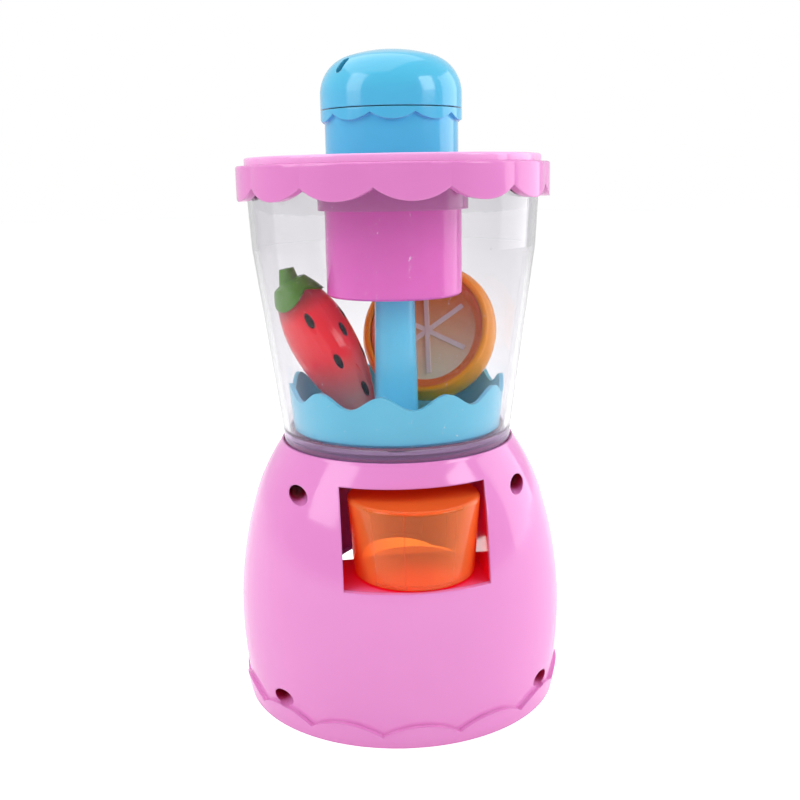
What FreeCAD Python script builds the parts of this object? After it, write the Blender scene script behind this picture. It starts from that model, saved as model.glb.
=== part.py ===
import FreeCAD, Part

import math
import os

from FreeCAD import Placement, Rotation, Vector

# Toy blender: a free-standing play set. A hollow base has a groove in its
# back that takes a block of toy juice, and a bay in its front that takes a
# cup. A clear jar stands on the base, with a wave-edged tray of toy fruit in
# it. Pressing the knob on the lid drives a twisted bar through a rotor, and
# the rotor turns the tray's post.
#
# Frame: +Z up, origin at the centre of the underside. -Y is the back with the
# groove, +Y the serving side. Lengths are in millimetres, angles in degrees.
# An angle "from the back" starts at -Y and turns towards +X.

# --- Driving dimensions ----------------------------------------------------

# Fits between pieces
FIT_GAP = 0.2               # between pieces that are assembled and stay
SEAT_GAP = 0.3              # between pieces that lift, slide or spin apart
RUN_GAP = 0.06              # radial, round a turning spindle or neck
BAR_GAP = 0.25              # each side of the twisted bar in its slot

# Base shells
SHELL_WALL = 2.4
FOOT_RADIUS = 63.8          # at the floor
BELLY_RADIUS = 67.4         # the widest ring
BELLY_RISE = 35.0           # floor to the widest ring
HIP_RADIUS = 60.6           # where the belly turns into the shoulder
HIP_DROP = 26.0             # shoulder's top to the hip ring
SHOULDER_RADIUS = 56.4      # half-way round the shoulder
SHOULDER_DROP = 14.0        # shoulder's top to the ring above
NECK_RADIUS = 48.4          # outside of the lip round the jar's foot
BASE_HEIGHT = 106.0         # floor to the shoulder's top
LIP_RISE = 0.9              # lip above the shoulder's top
LIP_WIDTH = 1.2

# Scalloped band round the base's foot, and the lid's edge, share a count
PETALS = 14
BAND_PROUD = 1.5
BAND_TIP = 9.5              # floor to a scallop's crest
BAND_VALLEY = 5.2           # floor to the notch between two

# Screws: one size throughout
SCREW_RADIUS = 1.3
SCREW_HEAD_RADIUS = 2.6
SCREW_HEAD_HEIGHT = 1.8
SCREW_CLEARANCE = 0.3       # radial, in the piece that is clamped
SCREW_THREAD_GAP = 0.05     # radial, in the boss that is screwed into
BOSS_WALL = 2.2             # plastic round a screw hole
RECESS_RADIUS = 3.4         # wells in the back that the screws are sunk in
RECESS_SEAT = 8.0           # split plane to a screw's seat
UPPER_SCREW_X = 42.7
UPPER_SCREW_DROP = 13.0     # below the shoulder's top
LOWER_SCREW_X = 51.3
LOWER_SCREW_Z = 12.5
SHELL_SCREW_LENGTH = 20.0

# Bottom cover
COVER_THICK = 2.2
COVER_BOSS_INSET = 3.8      # boss axis in from the shell's inside at the foot
COVER_BOSS_HEIGHT = 14.0
BACK_BOSS_ANGLE = 20.0      # from the back, either side
FRONT_BOSS_ANGLE = 133.5

# Groove, chute and serving bay
CHUTE_WALL = 2.0
GROOVE_WIDTH = 55.2
GROOVE_HEIGHT = 36.6
GROOVE_FLOOR_END = 25.0     # axis to the edge that the juice drops over
CHUTE_FRONT = 30.0          # axis to the far wall of the chute
BAY_WIDTH = 72.0
BAY_FLOOR = 10.0            # floor to the shelf that a cup stands on
BAY_SIDE = 20.0             # straight part of the bay's side
BAY_ARCH = 20.0             # rise of its arched roof
BAY_BACK = 33.0             # axis to the bay's back wall
BAY_WALL = 2.0

# Toy juice block
JUICE_SIDE_GAP = 0.7        # to the groove's nearer side
JUICE_TAPER = 2.4           # its top's radius less its bottom's
JUICE_HEIGHT = 31.3
JUICE_WALL = 1.6
JUICE_ROUND = 1.6           # radius of its top and bottom edges
JUICE_X = 1.2               # off the groove's middle
JUICE_INSET = 1.0           # its back, in from the base's widest ring
JUICE_SEAM_ANGLE = -16.0    # its parting plane, from the back

# Socket that the jar's foot stands in
SOCKET_PLATE = 2.0
WELL_RADIUS = 38.4
WELL_DEPTH = 3.5
SOCKET_FLANGE = 1.6         # thickness of the flange the shells trap
SOCKET_GROOVE = 0.8         # how far that flange reaches under the lip
LEDGE_GAP = 2.6             # radial, between the shells' ledge and the well

# Jar
JAR_WALL = 2.0
JAR_BREAK_RADIUS = 56.6     # where the side turns nearly upright
JAR_BREAK_RISE = 78.7       # foot to that ring
JAR_RIM_RADIUS = 58.1
JAR_HEIGHT = 107.8
JAR_FLOOR = 3.0
JAR_FOOT_HEIGHT = 2.0       # foot ring below the floor
JAR_FOOT_WIDTH = 3.0
SPIGOT_DEPTH = 3.2          # below the foot ring
SPINDLE_RADIUS = 3.0
SPINDLE_HEIGHT = 10.3
THRUST_RADIUS = 5.5         # raised ring that the tray turns on
THRUST_RISE = 0.3

# Tray
TRAY_GAP = 2.1              # radial, tray's foot to the jar's inside there
TRAY_FLARE = 1.8            # its side leans out by this, foot to crest
TRAY_WALL = 1.8
TRAY_WAVES = 11
TRAY_CREST = 19.9           # tray's underside to a crest
TRAY_WAVE_DEPTH = 5.4
TRAY_WAVE_TURN = -14.3      # one crest, from the back
POST_FOOT_RADIUS = 9.15
POST_TOP_RADIUS = 8.1
POST_WALL = 1.8
POST_PLUG_SOLID = 12.5      # solid part at the post's foot
POST_ENTRY = 1.5            # post's shoulder above the housing's underside

# Drive plug on the post, and its socket in the rotor
SPLINES = 6
SPLINE_RADIUS = 6.6
SPLINE_DEPTH = 1.1
PLUG_HEIGHT = 11.4
PLUG_BORE = 4.2

# Lid
SKIRT_GAP = 0.4             # radial, skirt to the jar's rim
SKIRT_WALL = 3.5            # thickest, at a petal's middle
LID_LOBE = 0.6              # depth of the petals in plan
LID_PLATE = 2.4
SKIRT_TIP_DROP = 13.3       # lid plate's top to a petal's tip
SKIRT_VALLEY_DROP = 8.4
LID_EDGE_ROUND = 0.9
COLLAR_GAP = 0.6            # radial, round the knob's flange
COLLAR_WALL = 2.0
COLLAR_DROP = 17.6          # lid plate's top to the collar's ledge
COLLAR_LEDGE = 1.8          # thickness of the inward ledge
PETAL_SETBACK = 3.4         # upper layer's edge, in from the lower one's
PETAL_PLATE_THICK = 3.0
LID_SCREW_CIRCLE = 46.0
LID_SCREWS = 4
LID_SCREW_LENGTH = 4.0

# Drive housing
HOUSING_INSET = 0.7         # radial, in from the collar's inside
HOUSING_WALL = 2.0
HOUSING_FLOOR = 2.5
HOUSING_DROP = 33.9         # collar's ledge to the housing's underside
HOUSING_FLANGE = 1.6
HOUSING_MOUTH_GAP = 0.5     # radial, round the post

# Rotor and its cover
ROTOR_FLANGE_RADIUS = 14.0
ROTOR_FLANGE_THICK = 1.8
ROTOR_RADIUS = 10.5
ROTOR_NECK_RADIUS = 7.5
ROTOR_NECK_HEIGHT = 3.3
ROTOR_ROOF = 3.2            # plate with the helical slot
ROTOR_ROOF_GAP = 0.8        # above the plug
ROTOR_BOSS_HEIGHT = 2.1     # from that plate to the neck
ROTOR_COVER_THICK = 2.4
COVER_SCREW_CIRCLE = 19.6
COVER_SCREWS = 3
COVER_SCREW_LENGTH = 8.0

# Knob
KNOB_TRAVEL = 12.0
KNOB_REST_GAP = 0.9         # skirt above the lid when the knob is down
KNOB_SLEEVE_RADIUS = 26.2
KNOB_SLEEVE_WALL = 1.8
KNOB_HOLE_GAP = 0.5         # radial, round the sleeve in the lid
KNOB_FLANGE_WIDTH = 1.3     # out from the sleeve
KNOB_FLANGE_THICK = 1.4
KNOB_SKIRT_PROUD = 1.5      # out from the sleeve
KNOB_SKIRT_HEIGHT = 4.5
KNOB_SKIRT_LOBE = 2.7
KNOB_SCALLOPS = 10
KNOB_TURN = -5.4            # one scallop, from the back
KNOB_SEAM = 0.4             # open joint between the sleeve and the dome
KNOB_WEB = 2.0
KNOB_WEB_DROP = 9.2         # sleeve's top to the web
DOME_HEIGHT = 22.4
DOME_WALL = 2.0
DOME_SIDE = 5.4             # nearly upright part of its side
DOME_CROWN_RADIUS = 16.5    # where the shoulder turns into the crown
DOME_CROWN_DROP = 2.4
DOME_SCREW_CIRCLE = 17.0
DOME_SCREWS = 3
DOME_SCREW_LENGTH = 8.0
VENT_WIDTH = 3.4
VENT_LENGTH = 7.6
VENT_ANGLE = -56.4          # from the back
VENT_TILT = 46.0            # its axis above the horizontal
VENT_RISE = 15.6            # dome's foot to the vent

# Twisted bar and spring
BAR_WIDTH = 7.0
BAR_THICK = 2.6
BAR_LEAD = 48.0             # rise in one turn of the twist
BAR_REACH = 2.5             # below the rotor's slotted plate at rest
BAR_HEAD_ACROSS = 11.6      # hexagonal head, across flats
BAR_HEAD_HEIGHT = 4.0
BAR_HUB_WALL = 2.8
SPRING_RADIUS = 13.0
SPRING_WIRE = 0.6
SPRING_TURNS = 7
SPRING_GAP = 0.6            # radial, to the ring it stands round

# Strawberry: heights are above its tip, in its own frame. A row of seeds has
# its height, their count and the angle of the first one.
BERRY_LENGTH = 63.5
BERRY_RADIUS = 13.5
BERRY_WIDEST_RISE = 37.8
BERRY_TIP_RADIUS = 7.5      # ball that the tip is part of
BERRY_TIP_SPAN = 62.0       # how far round that ball the tip reaches
BERRY_WAIST_RADIUS = 12.0
BERRY_WAIST_RISE = 21.2
BERRY_SHOULDER_RADIUS = 11.3
BERRY_SHOULDER_RISE = 52.3
BERRY_CROWN_RADIUS = 6.8    # where the shoulder turns into the crown
BERRY_CROWN_DROP = 1.3
BERRY_WALL = 1.6
BERRY_CAP_THICK = 1.1
BERRY_CAP_GAP = 0.12        # between the cap and the berry
BERRY_CAP_TIP = 54.5        # tip of a sepal above the berry's tip
BERRY_CAP_VALLEY = 59.0
BERRY_SEPALS = 3
BERRY_STEM_FOOT = 4.6       # radius where it leaves the crown
BERRY_STEM_RADIUS = 3.1
BERRY_STEM_LENGTH = 6.8
BERRY_STEM_SINK = 1.0       # its foot below the crown
BERRY_STEM_LEAN = 18.0
BERRY_STEM_TO = 58.0        # side that it bends to, in the berry's own frame
BERRY_SEED_ROWS = ((11.0, 2, 4.0), (24.0, 2, 48.0), (27.0, 2, -24.0),
                   (37.0, 2, 16.0), (42.5, 2, 48.0), (47.0, 2, -32.0))
BERRY_SEED_LENGTH = 7.4
BERRY_SEED_WIDTH = 3.3
BERRY_SEED_DEPTH = 0.5
BERRY_TIP_X = -12.4
BERRY_TIP_Y = 6.4
BERRY_REST_GAP = 0.05       # over the tray's floor
BERRY_LEAN = 28.7
BERRY_LEAN_TO = -92.7       # side that it leans to, from the back
BERRY_SPIN = 32.0           # turned about its own length

# Half orange: its own frame has the cut face up
ORANGE_RADIUS = 27.8
ORANGE_DEPTH = 22.0
ORANGE_BULGE = 2.0          # the peel's widest ring, out from its rim
ORANGE_BULGE_DROP = 7.0     # rim to that ring
ORANGE_TURN_INSET = 2.2     # in from it, where the side turns under
ORANGE_TURN_DROP = 12.5     # rim to there
ORANGE_PEEL = 2.8
ORANGE_DISH_RADIUS = 21.0
ORANGE_DISH_DROP = 3.2
ORANGE_DISH_WALL = 1.4
ORANGE_FACE_DROP = 0.6
ORANGE_SPOKES = 6
ORANGE_SPOKE_WIDTH = 2.0
ORANGE_SPOKE_LENGTH = 18.6
ORANGE_SPOKE_THICK = 0.5
ORANGE_HUB_X = 14.68
ORANGE_HUB_Y = 15.0
ORANGE_HUB_RISE = 34.75     # above the tray's floor
ORANGE_FACE_UP = 21.7       # how far the cut face looks up
ORANGE_FACE_TO = -25.3      # side that it faces, from the back
ORANGE_SPIN = 8.0

# --- Heights and radii that follow from them -------------------------------

hip_z = BASE_HEIGHT - HIP_DROP
shoulder_z = BASE_HEIGHT - SHOULDER_DROP
lip_z = BASE_HEIGHT + LIP_RISE
lip_inside = NECK_RADIUS - LIP_WIDTH
jar_foot_radius = lip_inside - SEAT_GAP

socket_top = BASE_HEIGHT + 0.1
socket_groove_top = BASE_HEIGHT - 1.0
ledge_top = socket_groove_top - SOCKET_FLANGE - FIT_GAP
well_floor = socket_top - WELL_DEPTH
socket_bottom = well_floor - SOCKET_PLATE

groove_ceiling = socket_bottom - FIT_GAP - CHUTE_WALL
groove_floor = groove_ceiling - GROOVE_HEIGHT
groove_half = GROOVE_WIDTH / 2
juice_top_radius = groove_half - JUICE_X - JUICE_SIDE_GAP
juice_bottom_radius = juice_top_radius - JUICE_TAPER
juice_y = juice_top_radius + JUICE_INSET - BELLY_RADIUS
bay_half = BAY_WIDTH / 2
bay_spring = BAY_FLOOR + BAY_SIDE
bay_crown = bay_spring + BAY_ARCH
bay_arch_radius = (bay_half ** 2 + BAY_ARCH ** 2) / (2 * BAY_ARCH)

jar_foot = socket_top + FIT_GAP
jar_floor_low = jar_foot + JAR_FOOT_HEIGHT
jar_floor_top = jar_floor_low + JAR_FLOOR
jar_break_z = jar_foot + JAR_BREAK_RISE
jar_rim = jar_foot + JAR_HEIGHT
thrust_top = jar_floor_top + THRUST_RISE
spindle_top = jar_floor_top + SPINDLE_HEIGHT

tray_radius = jar_foot_radius - JAR_WALL - TRAY_GAP
tray_top_radius = tray_radius + TRAY_FLARE
tray_bottom = thrust_top + 0.1
tray_floor = tray_bottom + TRAY_WALL
tray_crest = tray_bottom + TRAY_CREST

lid_low = jar_rim + SEAT_GAP
lid_top = lid_low + LID_PLATE
collar_bottom = lid_top - COLLAR_DROP
lid_skirt_inside = JAR_RIM_RADIUS + SKIRT_GAP
lid_radius = lid_skirt_inside + SKIRT_WALL
petal_plate_radius = lid_radius - PETAL_SETBACK
knob_flange_radius = KNOB_SLEEVE_RADIUS + KNOB_FLANGE_WIDTH
knob_skirt_radius = KNOB_SLEEVE_RADIUS + KNOB_SKIRT_PROUD
collar_inside = knob_flange_radius + COLLAR_GAP
collar_radius = collar_inside + COLLAR_WALL
housing_radius = collar_inside - HOUSING_INSET
petal_top = lid_top + PETAL_PLATE_THICK

housing_bottom = collar_bottom - HOUSING_DROP
housing_floor = housing_bottom + HOUSING_FLOOR
housing_inside = housing_radius - HOUSING_WALL
housing_rim = collar_bottom + COLLAR_LEDGE
housing_top = housing_rim + HOUSING_FLANGE

post_shoulder = housing_bottom + POST_ENTRY
plug_top = post_shoulder + PLUG_HEIGHT
rotor_bottom = housing_floor + SEAT_GAP
slot_low = plug_top + ROTOR_ROOF_GAP
slot_high = slot_low + ROTOR_ROOF
rotor_shoulder = slot_high + ROTOR_BOSS_HEIGHT
rotor_top = rotor_shoulder + ROTOR_NECK_HEIGHT
rotor_cover_low = rotor_shoulder + SEAT_GAP
rotor_cover_top = rotor_cover_low + ROTOR_COVER_THICK

knob_flange_top = lid_top - FIT_GAP
knob_flange_low = knob_flange_top - KNOB_FLANGE_THICK
knob_skirt_tip = petal_top + KNOB_TRAVEL + KNOB_REST_GAP
knob_sleeve_top = knob_skirt_tip + KNOB_SKIRT_HEIGHT
knob_sleeve_inside = KNOB_SLEEVE_RADIUS - KNOB_SLEEVE_WALL
knob_hole = KNOB_SLEEVE_RADIUS + KNOB_HOLE_GAP
dome_foot = knob_sleeve_top + KNOB_SEAM
dome_top = dome_foot + DOME_HEIGHT
web_top = knob_sleeve_top - KNOB_WEB_DROP
web_low = web_top - KNOB_WEB

bar_head_top = web_low - FIT_GAP
bar_head_low = bar_head_top - BAR_HEAD_HEIGHT
bar_end = slot_low - BAR_REACH

thread_radius = SCREW_RADIUS + SCREW_THREAD_GAP
clear_radius = SCREW_RADIUS + SCREW_CLEARANCE
boss_radius = thread_radius + BOSS_WALL

AXIS = Vector(0, 0, 1)
FAR = 200.0                 # longer than any piece, for cutting tools


# --- Shaping tools ---------------------------------------------------------

def direction(angle):
    """Unit vector at an angle from the back."""
    turn = math.radians(angle)
    return Vector(math.sin(turn), -math.cos(turn), 0)


def spot(radius, angle, z):
    """Point at a radius, an angle from the back and a height."""
    return direction(angle) * radius + Vector(0, 0, z)


def box(low, high):
    """Block between two corners."""
    size = [b - a for a, b in zip(low, high)]
    return Part.makeBox(*size, Vector(*low))


def rod(radius, low, high, centre=Vector(0, 0, 0)):
    """Upright cylinder."""
    return Part.makeCylinder(radius, high - low, Vector(centre.x, centre.y, low))


def tube(outer, inner, low, high, centre=Vector(0, 0, 0)):
    """Upright tube."""
    return rod(outer, low, high, centre).cut(rod(inner, low, high, centre))


def flat_face(start, steps, place):
    """Face inside an outline. A step is the end of a straight side, or the
    pair of points (middle, end) of an arc."""
    here, edges = start, []
    for step in list(steps) + [start]:
        if isinstance(step[0], tuple):
            middle, end = step
            edges.append(Part.Arc(place(*here), place(*middle), place(*end)).toShape())
        else:
            end = step
            if place(*here).distanceToPoint(place(*end)) > 1e-6:
                edges.append(Part.LineSegment(place(*here), place(*end)).toShape())
        here = end
    return Part.Face(Part.Wire(edges))


def turned(start, *steps):
    """Solid turned about Z from an outline of (radius, height) points."""
    face = flat_face(start, steps, lambda r, z: Vector(r, 0, z))
    return face.revolve(Vector(0, 0, 0), AXIS, 360)


def cap(radius, edge, top):
    """Middle of the arc from (radius, edge) to the axis at the top, with its
    centre on the axis, so that it turns into part of a sphere."""
    drop = abs(top - edge)
    sphere = (radius ** 2 + drop ** 2) / (2 * drop)
    half = math.atan2(radius, sphere - drop) / 2
    rise = sphere * (1 - math.cos(half))
    return sphere * math.sin(half), top - math.copysign(rise, top - edge)


def around(shape, count, first=0.0):
    """Copies of a shape, evenly spaced about Z."""
    copies = []
    for number in range(count):
        copy = shape.copy()
        copy.rotate(Vector(0, 0, 0), AXIS, first + number * 360 / count)
        copies.append(copy)
    return copies


def join(first, *others):
    """One solid from pieces that overlap or share faces."""
    return first.multiFuse(list(others)).removeSplitter()


def scallops(count, radius, tip, valley, reach, first=0.0):
    """Row of round lobes, as rods that point out from Z. At the radius, their
    edges come to the tip's height and meet at the valley's."""
    half = radius * math.sin(math.pi / count)
    rise = abs(tip - valley)
    lobe = (half ** 2 + rise ** 2) / (2 * rise)
    centre = tip - math.copysign(lobe, tip - valley)
    start, end = reach
    rod_out = Part.makeCylinder(lobe, end - start, Vector(0, -start, centre), Vector(0, -1, 0))
    lobes = around(rod_out, count, first)
    return lobes[0].multiFuse(lobes[1:])


def petal_prism(count, crest, depth, low, high, first=0.0, edge=0.0):
    """Upright prism with round petals in plan, its top edge rounded."""
    step = 360 / count
    arcs = []
    for number in range(count):
        middle = first + number * step
        ends = [spot(crest - depth, middle + side * step / 2, low) for side in (-1, 1)]
        arcs.append(Part.Arc(ends[0], spot(crest, middle, low), ends[1]).toShape())
    prism = Part.Face(Part.Wire(arcs)).extrude(Vector(0, 0, high - low))
    if edge:
        rim = [side for side in prism.Edges if side.BoundBox.ZMin > high - 1e-6]
        prism = prism.makeFillet(edge, rim)
    return prism


def screw(length, head_radius=SCREW_HEAD_RADIUS):
    """Pan-head screw, its seat at the origin and its shank along -Z, with a
    cross recess in its head."""
    body = rod(head_radius, 0, SCREW_HEAD_HEIGHT).fuse(rod(SCREW_RADIUS, -length, 0))
    long, wide, deep = head_radius * 0.6, 0.4, SCREW_HEAD_HEIGHT * 0.5
    bar = box((-long, -wide, SCREW_HEAD_HEIGHT - deep), (long, wide, SCREW_HEAD_HEIGHT))
    return body.cut(join(bar, *around(bar, 1, 90)))


def placed(shape, at, z_towards):
    """Copy of a shape with its origin moved to a point and its Z turned."""
    copy = shape.copy()
    copy.Placement = Placement(at, Rotation(AXIS, z_towards)).multiply(copy.Placement)
    return copy


# --- Base ------------------------------------------------------------------

def base_outside():
    """The base's outer form, solid."""
    return turned((0, 0), (FOOT_RADIUS, 0),
                  ((BELLY_RADIUS, BELLY_RISE), (HIP_RADIUS, hip_z)),
                  ((SHOULDER_RADIUS, shoulder_z), (NECK_RADIUS, BASE_HEIGHT)),
                  (NECK_RADIUS - LIP_WIDTH / 3, lip_z), (lip_inside, lip_z), (0, lip_z))


def base_inside(gap=0.0):
    """Space inside the shells, less a gap."""
    wall = SHELL_WALL + gap
    return turned((0, 0), (FOOT_RADIUS - wall, 0),
                  ((BELLY_RADIUS - wall, BELLY_RISE), (HIP_RADIUS - wall, hip_z)),
                  ((SHOULDER_RADIUS - wall, shoulder_z), (NECK_RADIUS - wall, BASE_HEIGHT)),
                  (0, BASE_HEIGHT))


def band():
    """Scalloped band that stands proud round the foot."""
    grown = turned((0, 0), (FOOT_RADIUS + BAND_PROUD, 0),
                   ((BELLY_RADIUS + BAND_PROUD, BELLY_RISE), (HIP_RADIUS + BAND_PROUD, hip_z)),
                   (0, hip_z))
    lobes = scallops(PETALS, FOOT_RADIUS, BAND_TIP, BAND_VALLEY,
                     (FOOT_RADIUS - 12, FOOT_RADIUS + 10))
    return grown.common(lobes).cut(base_inside())


def bay_outline(grow, y):
    """Face of the arched bay, grown by a wall, at a depth."""
    half = bay_half + grow
    radius = bay_arch_radius + grow
    centre = bay_crown - bay_arch_radius
    side = centre + math.sqrt(radius ** 2 - half ** 2)
    return flat_face((-half, BAY_FLOOR - grow),
                     [(-half, side), ((0, bay_crown + grow), (half, side)),
                      (half, BAY_FLOOR - grow)],
                     lambda x, z: Vector(x, y, z))


def bay_block(grow, back):
    """The bay as a solid that runs out through the front."""
    return bay_outline(grow, -back).extrude(Vector(0, back + FAR / 2, 0))


def screw_places():
    """Where the four screws that hold the shells together lie, as (x, z)."""
    upper = BASE_HEIGHT - UPPER_SCREW_DROP
    return [(side * x, z) for x, z in ((UPPER_SCREW_X, upper), (LOWER_SCREW_X, LOWER_SCREW_Z))
            for side in (-1, 1)]


def base_shells():
    """Back and front shells, split on the plane through the axis."""
    outside = base_outside()
    shell = outside.cut(base_inside()).fuse(band())
    # Ledge and groove that trap the jar's socket
    under_lip = ledge_top - SHELL_WALL
    ledge = tube(NECK_RADIUS, WELL_RADIUS + SOCKET_PLATE + LEDGE_GAP, under_lip, lip_z)
    throat = join(rod(lip_inside, ledge_top, lip_z),
                  rod(lip_inside + SOCKET_GROOVE, ledge_top, socket_groove_top))
    shell = shell.fuse(ledge.common(outside)).cut(throat)
    # Bosses for the bottom cover, each on a rib from the wall
    inner_foot = FOOT_RADIUS - SHELL_WALL
    angles = [BACK_BOSS_ANGLE, -BACK_BOSS_ANGLE, FRONT_BOSS_ANGLE, -FRONT_BOSS_ANGLE]
    for angle in angles:
        centre = spot(inner_foot - COVER_BOSS_INSET, angle, 0)
        boss = rod(boss_radius, COVER_THICK, COVER_THICK + COVER_BOSS_HEIGHT, centre)
        rib = box((-1, -inner_foot - SHELL_WALL, COVER_THICK),
                  (1, -inner_foot + COVER_BOSS_INSET, COVER_THICK + COVER_BOSS_HEIGHT))
        rib.rotate(Vector(0, 0, 0), AXIS, angle)
        hole = rod(thread_radius, COVER_THICK, COVER_THICK + COVER_BOSS_HEIGHT - 2, centre)
        shell = shell.fuse(join(boss, rib).common(outside)).cut(hole)
    back, front = [shell.common(box((-FAR, y, -1), (FAR, y + FAR, FAR))) for y in (-FAR, 0)]
    # Screw towers: wells in the back, blind bosses in the front
    well_wall = RECESS_RADIUS + BOSS_WALL * 0.7
    back_form = outside.common(box((-FAR, -FAR, 0), (FAR, 0, FAR)))
    front_form = outside.common(box((-FAR, 0, 0), (FAR, FAR, FAR)))
    for x, z in screw_places():
        start, out, far = Vector(x, 0, z), Vector(0, -1, 0), FAR / 2
        back = back.fuse(Part.makeCylinder(well_wall, far, start, out).common(back_form))
        back = back.cut(Part.makeCylinder(clear_radius, far, start, out))
        back = back.cut(Part.makeCylinder(RECESS_RADIUS, far, Vector(x, -RECESS_SEAT, z), out))
        front = front.fuse(Part.makeCylinder(well_wall, far, start, -out).common(front_form))
        front = front.cut(Part.makeCylinder(thread_radius, SHELL_SCREW_LENGTH - RECESS_SEAT + 2,
                                            start, -out))
    # The groove's mouth in the back, the bay's in the front
    back = back.cut(box((-groove_half, -FAR, groove_floor), (groove_half, -GROOVE_FLOOR_END,
                                                             groove_ceiling)))
    front = front.cut(bay_block(BAY_WALL + 0.1, -SHELL_WALL))
    return {"base_back_shell": back.removeSplitter(), "base_front_shell": front.removeSplitter()}


def juice_chute():
    """Box from the groove in the back to the drop over the bay."""
    out, wall = groove_half, CHUTE_WALL
    end = GROOVE_FLOOR_END
    groove = box((-out - wall, -FAR, groove_floor - wall), (out + wall, -end, groove_ceiling + wall))
    drop = box((-out - wall, -end - wall, bay_spring),
               (out + wall, CHUTE_FRONT + wall, groove_ceiling + wall))
    groove_space = box((-out, -FAR, groove_floor), (out, -end, groove_ceiling))
    drop_space = box((-out, -end, 0), (out, CHUTE_FRONT, groove_ceiling))
    walls = join(groove, drop).cut(join(groove_space, drop_space))
    return walls.common(base_inside(0.1)).cut(bay_block(BAY_WALL + 0.1, BAY_BACK + BAY_WALL))


def serving_bay():
    """Arched bay that a cup stands in, open to the chute above it."""
    room = bay_block(0, BAY_BACK)
    walls = bay_block(BAY_WALL, BAY_BACK + BAY_WALL).cut(room)
    mouth = box((-groove_half, -GROOVE_FLOOR_END, bay_spring), (groove_half, CHUTE_FRONT, bay_crown + 9))
    return walls.common(base_outside()).cut(mouth)


def jar_socket():
    """Round seat for the jar's foot, trapped between the shells."""
    top_radius = lip_inside - FIT_GAP
    flange = lip_inside + SOCKET_GROOVE - FIT_GAP
    wall = WELL_RADIUS + SOCKET_PLATE
    low = ledge_top + FIT_GAP / 2
    return turned((0, socket_bottom), (wall, socket_bottom), (wall, low), (flange, low),
                  (flange, low + SOCKET_FLANGE), (top_radius, low + SOCKET_FLANGE),
                  (top_radius, socket_top), (WELL_RADIUS, socket_top),
                  (WELL_RADIUS, well_floor), (0, well_floor))


def bottom_cover():
    """Round plate that closes the base and that it stands on."""
    plate = rod(FOOT_RADIUS - SHELL_WALL - FIT_GAP, 0, COVER_THICK)
    for place in cover_screw_places():
        plate = plate.cut(rod(clear_radius, 0, COVER_THICK, place))
        plate = plate.cut(rod(SCREW_HEAD_RADIUS + SCREW_CLEARANCE, 0, COVER_THICK / 2, place))
    return plate


def cover_screw_places():
    """Axes of the bottom cover's screws."""
    radius = FOOT_RADIUS - SHELL_WALL - COVER_BOSS_INSET
    return [spot(radius, side * angle, 0) for angle in (BACK_BOSS_ANGLE, FRONT_BOSS_ANGLE)
            for side in (-1, 1)]


def base_screws():
    """The four screws that are sunk in the back."""
    one = screw(SHELL_SCREW_LENGTH)
    return Part.makeCompound([placed(one, Vector(x, -RECESS_SEAT, z), Vector(0, -1, 0))
                              for x, z in screw_places()])


def cover_screws():
    """Flat-head screws of the bottom cover, flush with its underside."""
    length = COVER_BOSS_HEIGHT - 4
    head = rod(SCREW_HEAD_RADIUS, 0.1, COVER_THICK / 2)
    one = head.fuse(rod(SCREW_RADIUS, COVER_THICK / 2, COVER_THICK + length))
    bar = box((-1.5, -0.35, 0), (1.5, 0.35, 0.7))
    one = one.cut(join(bar, *around(bar, 1, 90)))
    copies = []
    for place in cover_screw_places():
        copy = one.copy()
        copy.translate(place)
        copies.append(copy)
    return Part.makeCompound(copies)


# --- Toy juice -------------------------------------------------------------

def juice_halves():
    """Hollow block of toy juice, in two halves that meet on an upright
    plane."""
    low = groove_floor + SEAT_GAP
    high = low + JUICE_HEIGHT

    def form(inset, round_by):
        top, bottom = juice_top_radius - inset, juice_bottom_radius - inset
        block = turned((0, low + inset), (bottom, low + inset), (top, high - inset),
                       (0, high - inset))
        rims = [edge for edge in block.Edges if edge.Curve.TypeId == "Part::GeomCircle"]
        return block.makeFillet(round_by, rims)

    block = form(0, JUICE_ROUND).cut(form(JUICE_WALL, JUICE_ROUND / 2))
    halves = {}
    for name, side in (("juice_half_left", -1), ("juice_half_right", 1)):
        keep = box((min(0, side * FAR), -FAR, 0), (max(0, side * FAR), FAR, FAR))
        half = block.common(keep)
        half.rotate(Vector(0, 0, 0), AXIS, JUICE_SEAM_ANGLE)
        half.translate(Vector(JUICE_X, juice_y, 0))
        halves[name] = half
    return halves


# --- Jar and tray ----------------------------------------------------------

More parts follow.
